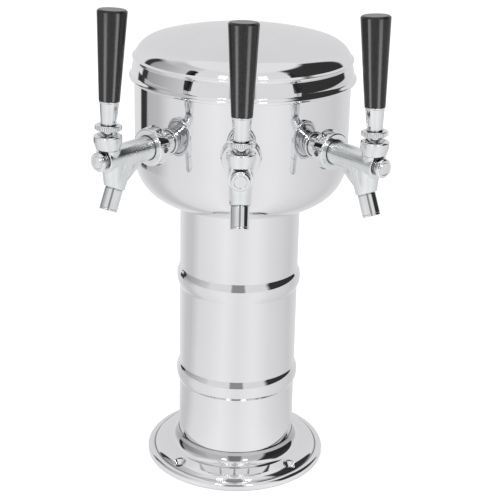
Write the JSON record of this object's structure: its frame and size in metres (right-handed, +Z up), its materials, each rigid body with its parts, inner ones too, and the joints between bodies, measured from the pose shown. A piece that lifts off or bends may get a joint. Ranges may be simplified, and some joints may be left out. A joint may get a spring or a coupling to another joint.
{
  "type": "beer tower dispenser",
  "caption": "Column draft beer tower with a bolted base flange, a round drum with a lift-off lid and radial lever faucets.",
  "frame": {"origin": "centre of the four mounting screws' circle, on the plane of the base's underside", "axes": "+Z up along the column; the middle faucet points to -Y; +X to the right seen from the front"},
  "size_m": [0.2238, 0.2593, 0.4198],
  "materials": {
    "polished_steel": "mirror-polished stainless steel",
    "bright_chrome": "bright chrome plate",
    "cast_chrome": "chrome plate over a cast, lightly polished body",
    "plain_steel": "plain stainless steel",
    "brass": "turned brass",
    "rubber": "matt",
    "black_plastic": "matt",
    "grip": "satin black moulding",
    "foam": "closed-cell foam",
    "hose": "clear-white beer tube"
  },
  "bodies": {
    "tower": {"base_flange": "polished_steel", "base_gasket": "rubber", "column_tube": "polished_steel", "column_insulation": "foam", "column_collar": "plain_steel", "clamp_screws": "plain_steel", "drum_bowl": "polished_steel", "wall_flanges": "bright_chrome", "saddle_washers": "plain_steel", "shank_lock_nuts": "brass", "coupling_washers": "rubber", "ball_washers": "black_plastic", "tailpieces": "bright_chrome", "tail_washers": "rubber", "tailpiece_nuts": "brass", "hose_clamps": "plain_steel", "line_couplers": "bright_chrome", "shank_left": "bright_chrome", "coupling_nut_left": "bright_chrome", "faucet_body_left": "cast_chrome", "spout_left": "bright_chrome", "bonnet_left": "bright_chrome", "front_cap_left": "bright_chrome", "beer_line_left": "hose", "shank_centre": "bright_chrome", "coupling_nut_centre": "bright_chrome", "faucet_body_centre": "cast_chrome", "spout_centre": "bright_chrome", "bonnet_centre": "bright_chrome", "front_cap_centre": "bright_chrome", "beer_line_centre": "hose", "shank_right": "bright_chrome", "coupling_nut_right": "bright_chrome", "faucet_body_right": "cast_chrome", "spout_right": "bright_chrome", "bonnet_right": "bright_chrome", "front_cap_right": "bright_chrome", "beer_line_right": "hose"},
    "lid": {"lid": "polished_steel"},
    "tap_left": {"lever_left": "bright_chrome", "lever_collar_left": "bright_chrome", "handle_ferrule_left": "bright_chrome", "handle_grip_left": "grip"},
    "valve_left": {"shaft_left": "plain_steel", "seat_washer_left": "rubber", "shaft_nut_left": "plain_steel"},
    "tap_centre": {"lever_centre": "bright_chrome", "lever_collar_centre": "bright_chrome", "handle_ferrule_centre": "bright_chrome", "handle_grip_centre": "grip"},
    "valve_centre": {"shaft_centre": "plain_steel", "seat_washer_centre": "rubber", "shaft_nut_centre": "plain_steel"},
    "tap_right": {"lever_right": "bright_chrome", "lever_collar_right": "bright_chrome", "handle_ferrule_right": "bright_chrome", "handle_grip_right": "grip"},
    "valve_right": {"shaft_right": "plain_steel", "seat_washer_right": "rubber", "shaft_nut_right": "plain_steel"}
  },
  "joints": [
    {"name": "lid_lift", "type": "slide", "parent": "tower", "child": "lid", "axis": [0, 0, 1], "range_m": [0, 0.08]},
    {"name": "tap_left_pull", "type": "hinge", "parent": "tower", "child": "tap_left", "pos_m": [-0.09899, -0.11797, 0.32], "axis": [0.766, -0.6428, 0], "range_deg": [0, 28]},
    {"name": "valve_left_slide", "type": "slide", "parent": "tower", "child": "valve_left", "axis": [0.6428, 0.766, 0], "range_m": [0, 0.0058]},
    {"name": "tap_centre_pull", "type": "hinge", "parent": "tower", "child": "tap_centre", "pos_m": [0, -0.154, 0.32], "axis": [1, 0, 0], "range_deg": [0, 28]},
    {"name": "valve_centre_slide", "type": "slide", "parent": "tower", "child": "valve_centre", "axis": [0, 1, 0], "range_m": [0, 0.0058]},
    {"name": "tap_right_pull", "type": "hinge", "parent": "tower", "child": "tap_right", "pos_m": [0.09899, -0.11797, 0.32], "axis": [0.766, 0.6428, 0], "range_deg": [0, 28]},
    {"name": "valve_right_slide", "type": "slide", "parent": "tower", "child": "valve_right", "axis": [-0.6428, 0.766, 0], "range_m": [0, 0.0058]}
  ],
  "couplings": [
    {"joint": "valve_left_slide", "follows": "tap_left_pull", "m_per_rad": 0.0117},
    {"joint": "valve_centre_slide", "follows": "tap_centre_pull", "m_per_rad": 0.0117},
    {"joint": "valve_right_slide", "follows": "tap_right_pull", "m_per_rad": 0.0117}
  ]
}
